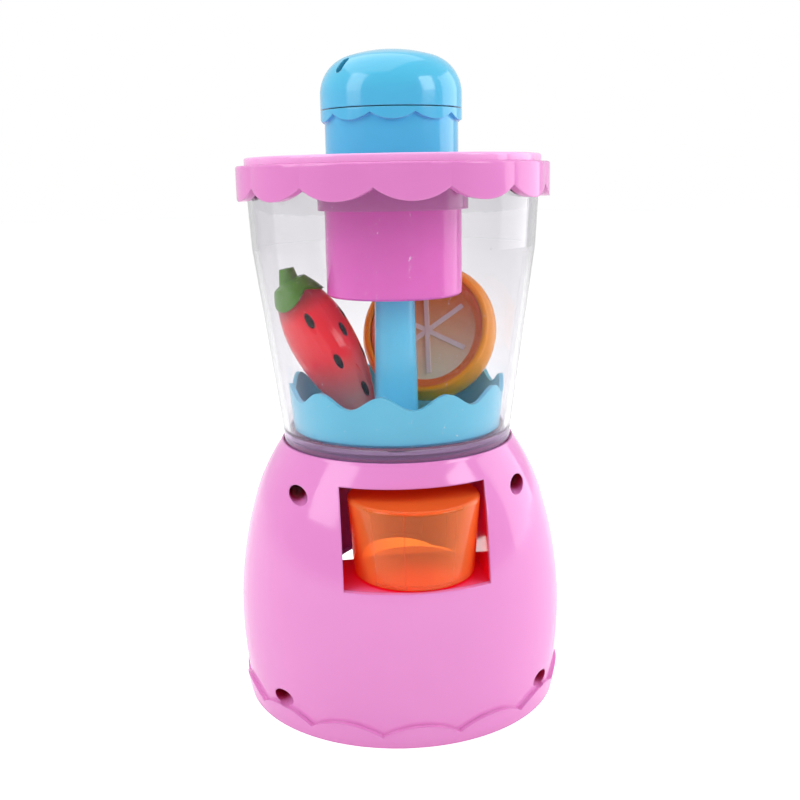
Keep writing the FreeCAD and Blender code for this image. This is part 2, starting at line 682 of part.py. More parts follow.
def jar():
    """Clear jar with a foot ring, a spigot below it and a spindle inside."""
    foot_inside = jar_foot_radius - JAR_FOOT_WIDTH
    spigot = WELL_RADIUS - FIT_GAP
    spigot_low = jar_foot - SPIGOT_DEPTH
    inside = jar_foot_radius - JAR_WALL
    side = turned((0, jar_floor_low), (spigot - JAR_WALL, jar_floor_low),
                  (spigot - JAR_WALL, spigot_low), (spigot, spigot_low),
                  (spigot, jar_floor_low), (foot_inside, jar_floor_low),
                  (foot_inside, jar_foot + 0.4), (foot_inside + 0.4, jar_foot),
                  (jar_foot_radius - 0.6, jar_foot), (jar_foot_radius, jar_foot + 0.6),
                  (jar_foot_radius, jar_floor_low + 1.2),
                  (JAR_BREAK_RADIUS, jar_break_z), (JAR_RIM_RADIUS, jar_rim - 0.4),
                  (JAR_RIM_RADIUS - 0.4, jar_rim), (JAR_RIM_RADIUS - JAR_WALL + 0.4, jar_rim),
                  (JAR_RIM_RADIUS - JAR_WALL, jar_rim - 0.4),
                  (JAR_BREAK_RADIUS - JAR_WALL, jar_break_z), (inside, jar_floor_top + 1.5),
                  ((inside - 0.4, jar_floor_top + 0.4), (inside - 1.5, jar_floor_top)),
                  (0, jar_floor_top))
    spindle = turned((0, jar_floor_low), (SPINDLE_RADIUS, jar_floor_low),
                     (SPINDLE_RADIUS, spindle_top - 1), (SPINDLE_RADIUS - 1, spindle_top),
                     (0, spindle_top))
    return join(side, spindle, rod(THRUST_RADIUS, jar_floor_low, thrust_top))


def wave_cutter():
    """The hollow between two crests of the tray's rim, as a radial prism."""
    width = 2 * tray_top_radius * math.sin(math.pi / TRAY_WAVES)
    points = []
    for number in range(9):
        share = number / 8
        drop = TRAY_WAVE_DEPTH * (1 - math.cos(2 * math.pi * share)) / 2
        points.append(Vector(width * (share - 0.5), -tray_top_radius - 3, tray_crest - drop))
    curve = Part.BSplineCurve()
    curve.interpolate(points)
    above = Vector(0, 0, TRAY_WAVE_DEPTH)
    sides = [Part.LineSegment(points[-1], points[-1] + above),
             Part.LineSegment(points[-1] + above, points[0] + above),
             Part.LineSegment(points[0] + above, points[0])]
    face = Part.Face(Part.Wire([curve.toShape()] + [side.toShape() for side in sides]))
    return face.extrude(Vector(0, TRAY_WALL + TRAY_FLARE + 8, 0))


def tray():
    """Wave-edged tray with the hollow post that drives it."""
    rim = turned((tray_radius - TRAY_WALL, tray_bottom), (tray_radius - 1, tray_bottom),
                 (tray_radius, tray_bottom + 1), (tray_top_radius, tray_crest),
                 (tray_top_radius - TRAY_WALL, tray_crest))
    valley = TRAY_WAVE_TURN + 180 / TRAY_WAVES
    rim = rim.cut(around(wave_cutter(), TRAY_WAVES, valley))
    floor = rod(tray_radius - TRAY_WALL * 0.7, tray_bottom, tray_floor)
    post = Part.makeCone(POST_FOOT_RADIUS, POST_TOP_RADIUS, post_shoulder - tray_bottom,
                         Vector(0, 0, tray_bottom))
    plug = petal_prism(SPLINES, SPLINE_RADIUS, SPLINE_DEPTH, post_shoulder - 1, plug_top)
    # Bored from the top, and at the foot for the jar's spindle
    solid_top = tray_bottom + POST_PLUG_SOLID
    bore = join(turned((0, solid_top), (POST_FOOT_RADIUS - POST_WALL, solid_top),
                       (POST_TOP_RADIUS - POST_WALL, post_shoulder - POST_WALL),
                       (PLUG_BORE, post_shoulder), (0, post_shoulder)),
                rod(PLUG_BORE, post_shoulder - POST_WALL, plug_top))
    seat = rod(SPINDLE_RADIUS + RUN_GAP, tray_bottom, spindle_top + SEAT_GAP)
    return join(rim, floor, post, plug).cut(bore).cut(seat)


# --- Fruit -----------------------------------------------------------------

def berry_form(grow):
    """The strawberry's form about Z, tip down, grown by a wall."""
    ball = BERRY_TIP_RADIUS + grow
    span = math.radians(BERRY_TIP_SPAN)
    tip = (ball * math.sin(span), BERRY_TIP_RADIUS - ball * math.cos(span))
    top = BERRY_LENGTH + grow
    crown = (BERRY_CROWN_RADIUS + grow / 2, top - BERRY_CROWN_DROP)
    side = (BERRY_WAIST_RADIUS + grow, BERRY_WAIST_RISE)
    widest = (BERRY_RADIUS + grow, BERRY_WIDEST_RISE)
    shoulder = (BERRY_SHOULDER_RADIUS + grow * 0.95, BERRY_SHOULDER_RISE + grow * 0.3)
    return turned((0, -grow), (cap(*tip, -grow), tip), (side, widest), (shoulder, crown),
                  (cap(*crown, top), (0, top)))


def berry_radius(height):
    """The strawberry's radius at a height, read from its form."""
    section = berry_form(0).slice(AXIS, height)
    return section[0].BoundBox.XMax


def place_berry(shape):
    """Set a piece of the strawberry into the tray."""
    lean = Rotation(direction(BERRY_LEAN_TO - 90), -BERRY_LEAN)
    spin = Rotation(AXIS, BERRY_SPIN)
    moved = shape.copy()
    # Leaning, it stands on the side of the ball at its tip
    lift = BERRY_TIP_RADIUS * (1 - math.cos(math.radians(BERRY_LEAN)))
    tip = Vector(BERRY_TIP_X, BERRY_TIP_Y, tray_floor + BERRY_REST_GAP + lift)
    moved.Placement = Placement(tip, lean.multiply(spin)).multiply(moved.Placement)
    return moved


def strawberry():
    """Hollow berry with seed dimples, and the cap with its stem."""
    body = berry_form(0).cut(berry_form(-BERRY_WALL))
    # A rod with long pointed ends, set so that it sinks in by the depth
    half, depth, quarter = BERRY_SEED_WIDTH / 2, BERRY_SEED_DEPTH, BERRY_SEED_LENGTH / 4
    thick = (half ** 2 + depth ** 2) / (2 * depth)
    point = quarter + thick * quarter / depth
    seed = turned((0, -point), (thick, -quarter), (thick, quarter), (0, point))
    dimples = []
    for height, count, first in BERRY_SEED_ROWS:
        copy = seed.copy()
        copy.translate(Vector(0, -berry_radius(height) - thick + depth, height))
        dimples += around(copy, count, first)
    body = body.cut(dimples)
    sepals = scallops(BERRY_SEPALS, berry_radius(BERRY_CAP_VALLEY) + BERRY_CAP_THICK,
                      BERRY_CAP_TIP, BERRY_CAP_VALLEY, (0, BERRY_RADIUS * 2),
                      180 / BERRY_SEPALS)
    above = rod(BERRY_RADIUS * 2, BERRY_CAP_VALLEY, BERRY_LENGTH + BERRY_STEM_LENGTH)
    leaves = berry_form(BERRY_CAP_THICK).common(sepals.fuse(above))
    bend = direction(BERRY_STEM_TO) * math.tan(math.radians(BERRY_STEM_LEAN))
    stem = Part.makeCone(BERRY_STEM_FOOT, BERRY_STEM_RADIUS, BERRY_STEM_LENGTH,
                         Vector(0, 0, BERRY_LENGTH - BERRY_STEM_SINK), AXIS + bend)
    return {"strawberry_body": place_berry(body),
            "strawberry_cap": place_berry(join(leaves, stem).cut(berry_form(BERRY_CAP_GAP)))}


def place_orange(shape):
    """Set a piece of the half orange into the tray, cut face to the back."""
    up = math.radians(ORANGE_FACE_UP)
    normal = direction(ORANGE_FACE_TO) * math.cos(up) + AXIS * math.sin(up)
    side = AXIS.cross(normal)
    facing = Rotation(side, normal.cross(side), normal, "ZXY")
    moved = shape.copy()
    turn = facing.multiply(Rotation(AXIS, ORANGE_SPIN))
    hub = Vector(ORANGE_HUB_X, ORANGE_HUB_Y, tray_floor + ORANGE_HUB_RISE)
    moved.Placement = Placement(hub, turn).multiply(moved.Placement)
    return moved


def half_orange():
    """Peel, dished flesh and the white star of membranes on it."""
    inner = ORANGE_RADIUS - ORANGE_PEEL

    def bowl(inset):
        rim = ORANGE_RADIUS - inset
        widest, under = rim + ORANGE_BULGE, rim + ORANGE_BULGE - ORANGE_TURN_INSET
        turn, foot = -ORANGE_TURN_DROP + inset / 2, -ORANGE_DEPTH + inset
        return turned((0, 0), (0, foot), (cap(under, turn, foot), (under, turn)),
                      ((widest, -ORANGE_BULGE_DROP), (rim, 0)))

    lip = Part.makeTorus(ORANGE_RADIUS - ORANGE_PEEL / 2, ORANGE_PEEL / 2)
    peel = bowl(0).cut(bowl(ORANGE_PEEL)).fuse(lip)
    rim, floor = inner - FIT_GAP, ORANGE_DISH_RADIUS
    dish = turned((0, -ORANGE_DISH_DROP), (floor, -ORANGE_DISH_DROP), (rim - 1, -ORANGE_FACE_DROP),
                  (rim, -ORANGE_FACE_DROP), (rim, -ORANGE_FACE_DROP - ORANGE_DISH_WALL),
                  (floor + 0.5, -ORANGE_DISH_DROP - ORANGE_DISH_WALL),
                  (0, -ORANGE_DISH_DROP - ORANGE_DISH_WALL))
    dish = dish.common(bowl(ORANGE_PEEL + FIT_GAP))
    half = ORANGE_SPOKE_WIDTH / 2
    spoke = box((-half, -ORANGE_SPOKE_LENGTH, -ORANGE_DISH_DROP),
                (half, 0, -ORANGE_DISH_DROP + ORANGE_SPOKE_THICK))
    hub = rod(ORANGE_SPOKE_WIDTH, -ORANGE_DISH_DROP, -ORANGE_DISH_DROP + ORANGE_SPOKE_THICK)
    star = join(hub, *around(spoke, ORANGE_SPOKES))
    return {"orange_peel": place_orange(peel.removeSplitter()), "orange_flesh": place_orange(dish),
            "orange_membranes": place_orange(star)}


# --- Lid and drive housing -------------------------------------------------

def lid_screw_places():
    """Axes of the screws between the lid's two layers."""
    return [spot(LID_SCREW_CIRCLE, 45 + number * 360 / LID_SCREWS, 0)
            for number in range(LID_SCREWS)]


def lid_body():
    """Lower layer: plate, petalled skirt, and the collar round the knob."""
    outer = petal_prism(PETALS, lid_radius, LID_LOBE, lid_top - SKIRT_TIP_DROP - 1, lid_top,
                        edge=LID_EDGE_ROUND)
    skirt = outer.cut(rod(lid_skirt_inside, lid_top - SKIRT_TIP_DROP - 2, lid_low))
    lobes = scallops(PETALS, lid_radius, lid_top - SKIRT_TIP_DROP, lid_top - SKIRT_VALLEY_DROP,
                     (lid_skirt_inside - 8, lid_radius + 5))
    inner = lid_skirt_inside - 4
    skirt = skirt.common(lobes).fuse(rod(inner + 1, lid_low, lid_top))
    collar = tube(collar_radius, collar_inside, collar_bottom, lid_low + 1)
    ledge = tube(collar_inside + 1, housing_radius + FIT_GAP, collar_bottom, housing_rim)
    body = join(skirt, collar, ledge).cut(rod(collar_inside, housing_rim, lid_top))
    for place in lid_screw_places():
        body = body.cut(rod(boss_radius + FIT_GAP, lid_low, lid_top, place))
    return body


def petal_plate():
    """Upper layer: petalled disc that traps the knob's flange."""
    plate = petal_prism(PETALS, petal_plate_radius, LID_LOBE, lid_top, petal_top,
                        edge=LID_EDGE_ROUND)
    plate = plate.cut(rod(knob_hole, lid_top, petal_top))
    for place in lid_screw_places():
        plate = plate.fuse(rod(boss_radius, lid_low, lid_top, place))
        plate = plate.cut(rod(thread_radius, lid_low, lid_low + LID_SCREW_LENGTH + 0.3, place))
    return plate.removeSplitter()


def lid_screws():
    """Screws up into the petal plate, their wide heads under the lid."""
    one = screw(LID_SCREW_LENGTH, boss_radius + 1)
    return Part.makeCompound([placed(one, place + Vector(0, 0, lid_low), Vector(0, 0, -1))
                              for place in lid_screw_places()])


def drive_housing():
    """Cup that hangs in the collar by its flange and holds the rotor."""
    mouth = POST_TOP_RADIUS + HOUSING_MOUTH_GAP
    flange = collar_inside - FIT_GAP
    cup = turned((mouth, housing_bottom), (housing_radius - 0.8, housing_bottom),
                 (housing_radius, housing_bottom + 0.8), (housing_radius, housing_rim),
                 (flange, housing_rim), (flange, housing_top), (housing_inside, housing_top),
                 (housing_inside, housing_floor), (mouth, housing_floor))
    for place in rotor_cover_places():
        cup = cup.fuse(rod(boss_radius, housing_floor - 1, rotor_cover_low, place))
        cup = cup.cut(rod(thread_radius, rotor_cover_low - COVER_SCREW_LENGTH, rotor_cover_low,
                          place))
    guide = tube(ROTOR_FLANGE_RADIUS + SEAT_GAP + 1, ROTOR_FLANGE_RADIUS + SEAT_GAP,
                 housing_floor - 1, rotor_bottom + ROTOR_FLANGE_THICK)
    return cup.fuse(guide).removeSplitter()


def rotor_cover_places():
    """Axes of the rotor cover's screws."""
    return [spot(COVER_SCREW_CIRCLE, number * 360 / COVER_SCREWS, 0)
            for number in range(COVER_SCREWS)]


def rotor_cover():
    """Plate that steadies the rotor's neck and carries the spring."""
    plate = tube(housing_inside - FIT_GAP, ROTOR_NECK_RADIUS + RUN_GAP,
                 rotor_cover_low, rotor_cover_top)
    for place in rotor_cover_places():
        plate = plate.cut(rod(clear_radius, rotor_cover_low, rotor_cover_top, place))
    inner = SPRING_RADIUS - SPRING_WIRE - SPRING_GAP
    return plate.fuse(tube(inner, inner - 1.2, rotor_cover_top - 1, rotor_cover_top + 2))


def rotor_cover_screws():
    """Screws that hold the rotor cover down."""
    one = screw(COVER_SCREW_LENGTH - 1)
    return Part.makeCompound([placed(one, place + Vector(0, 0, rotor_cover_top), AXIS)
                              for place in rotor_cover_places()])


# --- Drive -----------------------------------------------------------------

def twisted_bar(width, thick, low, high):
    """Flat bar with a right-hand twist. Its section's angle depends on height
    alone, so a bar and its slot match wherever each begins."""
    count = max(2, math.ceil((high - low) / (BAR_LEAD / 24)))
    sections = []
    for number in range(count + 1):
        z = low + (high - low) * number / count
        corners = [Vector(x * width / 2, y * thick / 2, z)
                   for x, y in ((-1, -1), (1, -1), (1, 1), (-1, 1), (-1, -1))]
        section = Part.makePolygon(corners)
        section.rotate(Vector(0, 0, 0), AXIS, 360 * z / BAR_LEAD)
        sections.append(section)
    return Part.makeLoft(sections, True, False)


def hexagon(across, low, high):
    """Upright hexagonal prism."""
    corner = across / math.sqrt(3)
    points = [spot(corner, number * 60, low) for number in range(7)]
    return Part.Face(Part.makePolygon(points)).extrude(Vector(0, 0, high - low))


def drive_rotor():
    """Rotor: a splined socket below, a helical slot above."""
    form = turned((0, rotor_bottom), (ROTOR_FLANGE_RADIUS, rotor_bottom),
                  (ROTOR_FLANGE_RADIUS, rotor_bottom + ROTOR_FLANGE_THICK),
                  (ROTOR_RADIUS, rotor_bottom + ROTOR_FLANGE_THICK),
                  (ROTOR_RADIUS, rotor_shoulder), (ROTOR_NECK_RADIUS, rotor_shoulder),
                  (ROTOR_NECK_RADIUS, rotor_top), (0, rotor_top))
    socket = petal_prism(SPLINES, SPLINE_RADIUS + SEAT_GAP, SPLINE_DEPTH, rotor_bottom, slot_low)
    # The post's shoulder comes up inside the socket's mouth
    mouth = rod(POST_TOP_RADIUS + SEAT_GAP, rotor_bottom, post_shoulder + SEAT_GAP)
    slot = twisted_bar(BAR_WIDTH + 2 * BAR_GAP, BAR_THICK + 2 * BAR_GAP,
                       slot_low - 1, slot_high + 1)
    throat = rod(ROTOR_NECK_RADIUS - 2, slot_high, rotor_top)
    tools = [socket, slot, throat]
    if post_shoulder + SEAT_GAP > rotor_bottom:
        tools.append(mouth)
    return form.cut(tools)


def twist_bar():
    """Twisted bar with a hexagonal head that keys into the knob."""
    blade = twisted_bar(BAR_WIDTH, BAR_THICK, bar_end, bar_head_low + 1)
    head = hexagon(BAR_HEAD_ACROSS, bar_head_low, bar_head_top)
    hole = rod(thread_radius, bar_head_low + 0.5, bar_head_top)
    return blade.fuse(head).cut(hole)


def return_spring():
    """Coil spring between the rotor cover and the knob's web."""
    low, high = rotor_cover_top + FIT_GAP / 2, web_low - FIT_GAP / 2
    rise = high - low - 2 * SPRING_WIRE
    ring = Part.Wire(Part.makeCircle(SPRING_WIRE, Vector(SPRING_RADIUS, 0, low + SPRING_WIRE),
                                     Vector(0, 1, 0)))
    steps = SPRING_TURNS * 16
    sections = []
    for number in range(steps + 1):
        section = ring.copy()
        section.rotate(Vector(0, 0, 0), AXIS, 360 * SPRING_TURNS * number / steps)
        section.translate(Vector(0, 0, rise * number / steps))
        sections.append(section)
    return Part.makeLoft(sections, True, True)


# --- Knob ------------------------------------------------------------------

def dome_screw_places():
    """Axes of the screws between the sleeve's web and the dome."""
    return [spot(DOME_SCREW_CIRCLE, 60 + number * 360 / DOME_SCREWS, 0)
            for number in range(DOME_SCREWS)]


def knob_sleeve():
    """Sleeve that slides in the lid, with a scalloped skirt at its top."""
    wall = turned((knob_sleeve_inside, knob_flange_low), (knob_flange_radius, knob_flange_low),
                  (knob_flange_radius, knob_flange_top), (KNOB_SLEEVE_RADIUS, knob_flange_top),
                  (KNOB_SLEEVE_RADIUS, knob_sleeve_top), (knob_sleeve_inside, knob_sleeve_top))
    collar = tube(knob_skirt_radius, KNOB_SLEEVE_RADIUS - 0.5, knob_skirt_tip, knob_sleeve_top)
    lobes = scallops(KNOB_SCALLOPS, knob_skirt_radius, knob_skirt_tip,
                     knob_skirt_tip + KNOB_SKIRT_LOBE,
                     (KNOB_SLEEVE_RADIUS - 8, knob_skirt_radius + 2), KNOB_TURN)
    web = rod(knob_sleeve_inside + 0.5, web_low, web_top)
    across = BAR_HEAD_ACROSS + 2 * FIT_GAP
    hub = rod(across / math.sqrt(3) + BAR_HUB_WALL, bar_head_low, web_low)
    sleeve = join(wall, collar.common(lobes), web, hub)
    sleeve = sleeve.cut(hexagon(across, bar_head_low, web_low))
    sleeve = sleeve.cut(rod(clear_radius, web_low, web_top))
    for place in dome_screw_places():
        sleeve = sleeve.cut(rod(clear_radius, web_low, web_top, place))
    return sleeve


def dome_form(inset):
    """The dome's form about Z, shrunk by a wall."""
    side, foot = knob_skirt_radius - inset, dome_foot
    crown = dome_top - inset
    turn = foot + DOME_SIDE
    shoulder = (DOME_CROWN_RADIUS - inset / 2, crown - DOME_CROWN_DROP)
    bend = (side - 3.6, (turn + shoulder[1]) / 2 + 2.6)
    return turned((0, foot), (side, foot), (side, turn), (bend, shoulder),
                  (cap(*shoulder, crown), (0, crown)))


def knob_dome():
    """Hollow dome with screw bosses and one vent slot."""
    lip = knob_sleeve_inside - FIT_GAP
    hollow = dome_form(DOME_WALL)
    dome = dome_form(0).cut(hollow)
    register = tube(lip, lip - DOME_WALL, dome_foot - 3, dome_foot + 2)
    shelf = tube(knob_skirt_radius - 0.5, lip - DOME_WALL, dome_foot, dome_foot + 2)
    bosses = [rod(boss_radius, web_top, dome_top, place).common(join(hollow, rod(
        DOME_SCREW_CIRCLE + boss_radius, web_top, dome_foot + 1)))
        for place in dome_screw_places()]
    dome = join(dome, register, shelf, *bosses)
    for place in dome_screw_places():
        dome = dome.cut(rod(thread_radius, web_top, web_top + DOME_SCREW_LENGTH, place))
    # Oblong vent, long way up and down the shoulder
    tilt = math.radians(VENT_TILT)
    out = direction(VENT_ANGLE)
    axis = out * math.cos(tilt) + AXIS * math.sin(tilt)
    along = AXIS * math.cos(tilt) - out * math.sin(tilt)
    centre = out * (knob_skirt_radius - 8) + AXIS * (dome_foot + VENT_RISE - 4)
    ends = [centre + along * (step * (VENT_LENGTH - VENT_WIDTH) / 2) for step in (-1, 1)]
    slot = [Part.makeCylinder(VENT_WIDTH / 2, 14, end, axis) for end in ends]
    middle = Part.makeBox(VENT_LENGTH - VENT_WIDTH, VENT_WIDTH, 14)
    middle.translate(Vector(-(VENT_LENGTH - VENT_WIDTH) / 2, -VENT_WIDTH / 2, 0))
    middle.Placement = Placement(centre, Rotation(along, axis.cross(along), axis,
                                                  "ZXY")).multiply(middle.Placement)
    return dome.cut(slot + [middle])


def bar_screw():
    """Screw through the web into the twisted bar's head."""
    return placed(screw(KNOB_WEB + BAR_HEAD_HEIGHT - 1), Vector(0, 0, web_top), AXIS)


def dome_screws():
    """Screws up through the web into the dome's bosses."""
    one = screw(KNOB_WEB + DOME_SCREW_LENGTH - 1)
    return Part.makeCompound([placed(one, place + Vector(0, 0, web_low), Vector(0, 0, -1))
                              for place in dome_screw_places()])


# --- Every piece, one file each --------------------------------------------

pieces = {}
pieces.update(base_shells())
pieces["juice_chute"] = juice_chute()
pieces["serving_bay"] = serving_bay()
pieces["jar_socket"] = jar_socket()
pieces["bottom_cover"] = bottom_cover()
pieces["base_screws"] = base_screws()
pieces["cover_screws"] = cover_screws()
pieces.update(juice_halves())
pieces["jar"] = jar()
pieces["tray"] = tray()
pieces.update(strawberry())
pieces.update(half_orange())
pieces["lid_body"] = lid_body()
pieces["petal_plate"] = petal_plate()
pieces["lid_screws"] = lid_screws()
pieces["drive_housing"] = drive_housing()
pieces["rotor_cover"] = rotor_cover()
pieces["rotor_cover_screws"] = rotor_cover_screws()
pieces["drive_rotor"] = drive_rotor()
pieces["knob_sleeve"] = knob_sleeve()
pieces["knob_dome"] = knob_dome()
pieces["twist_bar"] = twist_bar()
pieces["bar_screw"] = bar_screw()
pieces["dome_screws"] = dome_screws()
pieces["return_spring"] = return_spring()

os.makedirs("parts", exist_ok=True)
for name, shape in pieces.items():
    shape.exportStep("parts/" + name + ".step")
    print(name, "solids", len(shape.Solids), "valid", shape.isValid(),
          "volume", round(shape.Volume), "box", [round(v, 1) for v in (
              shape.BoundBox.XMin, shape.BoundBox.YMin, shape.BoundBox.ZMin,
              shape.BoundBox.XMax, shape.BoundBox.YMax, shape.BoundBox.ZMax)])
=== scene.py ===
"""Toy blender: a pink base with a block of toy juice in its back, a clear jar
with toy fruit on a blue tray, a petalled lid and a blue press knob."""
import math

import bmesh
import bpy
from mathutils import Matrix, Vector
from mathutils.bvhtree import BVHTree


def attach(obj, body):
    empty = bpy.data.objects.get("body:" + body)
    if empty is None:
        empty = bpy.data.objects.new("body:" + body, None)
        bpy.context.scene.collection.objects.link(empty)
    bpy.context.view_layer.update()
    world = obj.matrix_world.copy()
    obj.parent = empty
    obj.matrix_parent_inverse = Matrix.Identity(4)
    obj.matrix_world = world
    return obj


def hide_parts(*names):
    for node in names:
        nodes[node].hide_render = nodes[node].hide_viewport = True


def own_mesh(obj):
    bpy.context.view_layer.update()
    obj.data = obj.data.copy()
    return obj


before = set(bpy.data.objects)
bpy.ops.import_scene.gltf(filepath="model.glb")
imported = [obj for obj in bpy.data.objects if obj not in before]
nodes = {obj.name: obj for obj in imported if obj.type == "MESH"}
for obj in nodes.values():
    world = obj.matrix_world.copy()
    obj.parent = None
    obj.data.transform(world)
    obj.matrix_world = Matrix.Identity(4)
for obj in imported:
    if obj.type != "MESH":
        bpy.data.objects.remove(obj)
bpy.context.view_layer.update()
MM = 0.001

# --- Base shells, chute, bay and socket ---------------------------------------
# Two half shells, screwed together from the back, with a boxed chute and an
# arched bay between them. Moulded in pink ABS and polished in the tool, so
# the surface is glossy with faint sink and flow marks.

SMOOTH_UP_TO = math.radians(32)
HOLLOW_REACH = 14 * MM
ABS_INDEX = 1.53


def linear(code):
    """sRGB hex colour to the linear colour that a shader takes."""
    parts = [int(code[place:place + 2], 16) / 255 for place in (1, 3, 5)]
    return [c / 12.92 if c <= 0.04045 else ((c + 0.055) / 1.055) ** 2.4 for c in parts] + [1.0]


def add(material, kind, inputs=None, **settings):
    """A shader node with its settings, its values and its incoming links."""
    node = material.node_tree.nodes.new(kind)
    for name, value in settings.items():
        setattr(node, name, value)
    for socket, value in (inputs or {}).items():
        if isinstance(value, bpy.types.NodeSocket):
            material.node_tree.links.new(value, node.inputs[socket])
        else:
            node.inputs[socket].default_value = value
    return node


def blank_material(name):
    """A material with an empty node tree."""
    material = bpy.data.materials.new(name)
    material.use_nodes = True
    material.node_tree.nodes.clear()
    return material


def noise(material, place, size, detail=2.0):
    """Noise with lumps about size mm across."""
    return add(material, "ShaderNodeTexNoise", {"Vector": place, "Scale": 1 / (size * MM),
                                                "Detail": detail})


def ramp(material, value, start, end, low=0.0, high=1.0):
    """Turns a value's run from start to end into a run from low to high."""
    return add(material, "ShaderNodeMapRange",
               {"Value": value, "From Min": start, "From Max": end, "To Min": low,
                "To Max": high}).outputs["Result"]


def mixed(material, share, first, second):
    """Between two colours, or two numbers, by the share of the second."""
    kind = "FLOAT" if isinstance(first, float) else "RGBA"
    return add(material, "ShaderNodeMix", {"Factor": share, "A": first, "B": second},
               data_type=kind).outputs["Result"]


def polished_skin(material, place, colour, round_edge, gloss):
    """Polished ABS over a colour. Its roughness drifts between gloss[0] and
    gloss[1] over 12 mm, and a 3 mm ripple bends the reflections a little, as
    on any toy. Edges are broken by round_edge mm."""
    rough = ramp(material, noise(material, place, 12, 3.0).outputs["Fac"], 0.3, 0.7, *gloss)
    broken = add(material, "ShaderNodeBevel", {"Radius": round_edge * MM}, samples=6)
    ripple = noise(material, place, 3, 1.0)
    bump = add(material, "ShaderNodeBump",
               {"Height": ripple.outputs["Fac"], "Strength": 0.06, "Distance": 0.05 * MM,
                "Normal": broken.outputs["Normal"]})
    skin = add(material, "ShaderNodeBsdfPrincipled",
               {"Base Color": colour, "Roughness": rough, "IOR": ABS_INDEX,
                "Normal": bump.outputs["Normal"]})
    add(material, "ShaderNodeOutputMaterial", {"Surface": skin.outputs["BSDF"]})


def moulded_abs(name, deep, pale, round_edge=0.45, gloss=(0.08, 0.15), painted_hollow_shade=None,
                opens=(0.02, 0.25)):
    """Polished ABS in one colour, which drifts a little over 40 mm, as it does in a thick moulding.
    Where it is shut in, the colour painted_hollow_shade is painted in as shade, for the light that
    goes from wall to wall there: all of it where as little of the sky is open as opens[0], and none
    of it from opens[1] on."""
    material = blank_material(name)
    place = add(material, "ShaderNodeTexCoord").outputs["Object"]
    drift = noise(material, place, 40)
    colour = mixed(material, drift.outputs["Fac"], linear(deep), linear(pale))
    # Painted shade: ambient occlusion mixes the shade colour into recesses
    if painted_hollow_shade:
        sky = add(material, "ShaderNodeAmbientOcclusion", {"Distance": HOLLOW_REACH}, samples=6)
        openness = ramp(material, sky.outputs["AO"], *opens)
        colour = mixed(material, openness, linear(painted_hollow_shade), colour)
    polished_skin(material, place, colour, round_edge, gloss)
    return material


def dress(material, *names):
    """Gives a material to CAD nodes, which are smooth but for their sharp edges."""
    for name in names:
        mesh = nodes[name].data
        mesh.materials.clear()
        mesh.materials.append(material)
        mesh.shade_smooth()
        mesh.set_sharp_from_angle(angle=SMOOTH_UP_TO)


# The shells' screw wells, creases and recesses get a crimson painted shade
base_pink = moulded_abs("moulded_abs_pink", "#E98AD0", "#EE93D6", 0.8, painted_hollow_shade="#DC1040")
dress(base_pink, "base_back_shell", "base_front_shell", "serving_bay", "jar_socket", "bottom_cover")
# The chute is boxed in, so its painted shade reaches further out
chute_pink_deep_shade = moulded_abs("moulded_abs_pink_chute_deep_shade", "#E98AD0", "#EE93D6", 0.8, painted_hollow_shade="#F01C4C",
                         opens=(0.35, 0.95))
dress(chute_pink_deep_shade, "juice_chute")

# --- Screws --------------------------------------------------------------------
# Self-tapping steel screws with cross recesses. Their zinc plating is bright
# and slightly cloudy.

zinc = blank_material("zinc_plated_steel")
zinc_place = add(zinc, "ShaderNodeTexCoord").outputs["Object"]
zinc_cloud = noise(zinc, zinc_place, 1.5, 3.0)
zinc_skin = add(zinc, "ShaderNodeBsdfPrincipled",
                {"Base Color": linear("#B9BBBD"), "Metallic": 1.0,
                 "Roughness": ramp(zinc, zinc_cloud.outputs["Fac"], 0.0, 1.0, 0.25, 0.5)})
add(zinc, "ShaderNodeOutputMaterial", {"Surface": zinc_skin.outputs["BSDF"]})
dress(zinc, "base_screws", "cover_screws", "lid_screws", "rotor_cover_screws", "bar_screw",
      "dome_screws")

# --- Toy juice -----------------------------------------------------------------
# A hollow block in two halves, welded on an upright line, moulded in clear orange polystyrene.
# Light goes through both walls, which lights its edges, and a faint painted light of the edge's
# orange is added.

FLECK_CELL = 7 * MM                 # holds one scuff at most
FLECK_RADIUS = 0.085                # share of the cell
FLECK_SHIFT = Vector((1.2, 1.2, 3.6)) * MM
FLECK_SQUEEZE = (1.0, 1.0, 0.32)    # draws the scuffs out upright
FLECK_ROUGH, FLECK_CLEAR = 0.6, 0.3


def calc(material, operation, *values):
    """Result of a math node on numbers or sockets."""
    return add(material, "ShaderNodeMath", dict(enumerate(values)),
               operation=operation).outputs[0]


def fleck_mask(material, place, share):
    """1 on the scuffs, up to 3 mm long, and 0 elsewhere: they are the hearts of
    a share of the cells, which are bent by noise and drawn upright."""
    twist = noise(material, place, 3)
    bent = add(material, "ShaderNodeVectorMath",
               {0: place, 1: twist.outputs["Color"], 2: FLECK_SHIFT}, operation="MULTIPLY_ADD")
    drawn = add(material, "ShaderNodeMapping", {"Vector": bent.outputs[0], "Scale": FLECK_SQUEEZE})
    cells = add(material, "ShaderNodeTexVoronoi", {"Vector": drawn.outputs["Vector"],
                                                   "Scale": 1 / FLECK_CELL})
    draw = add(material, "ShaderNodeSeparateColor", {"Color": cells.outputs["Color"]})
    heart = calc(material, "LESS_THAN", cells.outputs["Distance"], FLECK_RADIUS)
    chosen = calc(material, "LESS_THAN", draw.outputs["Red"], share)
    return calc(material, "MULTIPLY", heart, chosen)


